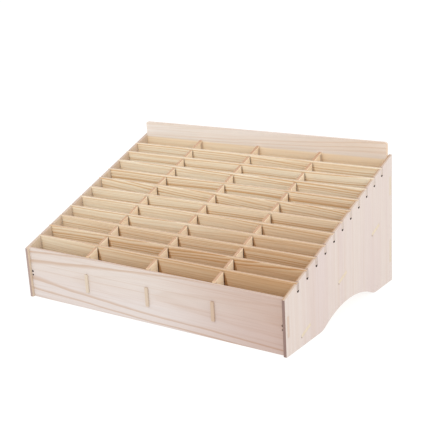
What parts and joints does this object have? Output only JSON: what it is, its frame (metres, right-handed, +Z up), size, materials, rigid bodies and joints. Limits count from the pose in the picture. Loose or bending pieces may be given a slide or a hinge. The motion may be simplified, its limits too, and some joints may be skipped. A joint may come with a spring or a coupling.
{
  "type": "paint rack organizer",
  "caption": "Sloped slot-together wooden desk rack whose long and cross dividers form rows of narrow open-topped cells, with a raised back panel and arched sides.",
  "frame": {"origin": "middle of the footprint, on the surface the rack stands on", "axes": "+X to the user's right along the rows, +Y from the low front to the raised back, +Z up"},
  "size_m": [0.39, 0.265, 0.1827],
  "materials": {
    "side_wood": "bare sanded pale pine",
    "panel_wood": "bare sanded pale pine, grain left to right",
    "base_wood": "bare sanded pale pine",
    "long_divider_wood": "bare sanded pale pine",
    "cross_divider_wood": "bare sanded pale pine, grain left to right"
  },
  "bodies": {
    "carcass": {"left_side": "side_wood", "right_side": "side_wood", "front_panel": "panel_wood", "back_panel": "panel_wood", "base_board": "base_wood", "long_divider_left": "long_divider_wood", "long_divider_middle": "long_divider_wood", "long_divider_right": "long_divider_wood"},
    "lift_01": {"cross_divider_01": "cross_divider_wood"},
    "lift_02": {"cross_divider_02": "cross_divider_wood"},
    "lift_03": {"cross_divider_03": "cross_divider_wood"},
    "lift_04": {"cross_divider_04": "cross_divider_wood"},
    "lift_05": {"cross_divider_05": "cross_divider_wood"},
    "lift_06": {"cross_divider_06": "cross_divider_wood"},
    "lift_07": {"cross_divider_07": "cross_divider_wood"},
    "lift_08": {"cross_divider_08": "cross_divider_wood"},
    "lift_09": {"cross_divider_09": "cross_divider_wood"},
    "lift_10": {"cross_divider_10": "cross_divider_wood"},
    "lift_11": {"cross_divider_11": "cross_divider_wood"}
  },
  "joints": [
    {"name": "lift_out_01", "type": "slide", "parent": "carcass", "child": "lift_01", "axis": [0, 0, 1], "range_m": [0, 0.068]},
    {"name": "lift_out_02", "type": "slide", "parent": "carcass", "child": "lift_02", "axis": [0, 0, 1], "range_m": [0, 0.068]},
    {"name": "lift_out_03", "type": "slide", "parent": "carcass", "child": "lift_03", "axis": [0, 0, 1], "range_m": [0, 0.068]},
    {"name": "lift_out_04", "type": "slide", "parent": "carcass", "child": "lift_04", "axis": [0, 0, 1], "range_m": [0, 0.068]},
    {"name": "lift_out_05", "type": "slide", "parent": "carcass", "child": "lift_05", "axis": [0, 0, 1], "range_m": [0, 0.068]},
    {"name": "lift_out_06", "type": "slide", "parent": "carcass", "child": "lift_06", "axis": [0, 0, 1], "range_m": [0, 0.068]},
    {"name": "lift_out_07", "type": "slide", "parent": "carcass", "child": "lift_07", "axis": [0, 0, 1], "range_m": [0, 0.068]},
    {"name": "lift_out_08", "type": "slide", "parent": "carcass", "child": "lift_08", "axis": [0, 0, 1], "range_m": [0, 0.068]},
    {"name": "lift_out_09", "type": "slide", "parent": "carcass", "child": "lift_09", "axis": [0, 0, 1], "range_m": [0, 0.068]},
    {"name": "lift_out_10", "type": "slide", "parent": "carcass", "child": "lift_10", "axis": [0, 0, 1], "range_m": [0, 0.068]},
    {"name": "lift_out_11", "type": "slide", "parent": "carcass", "child": "lift_11", "axis": [0, 0, 1], "range_m": [0, 0.068]}
  ]
}
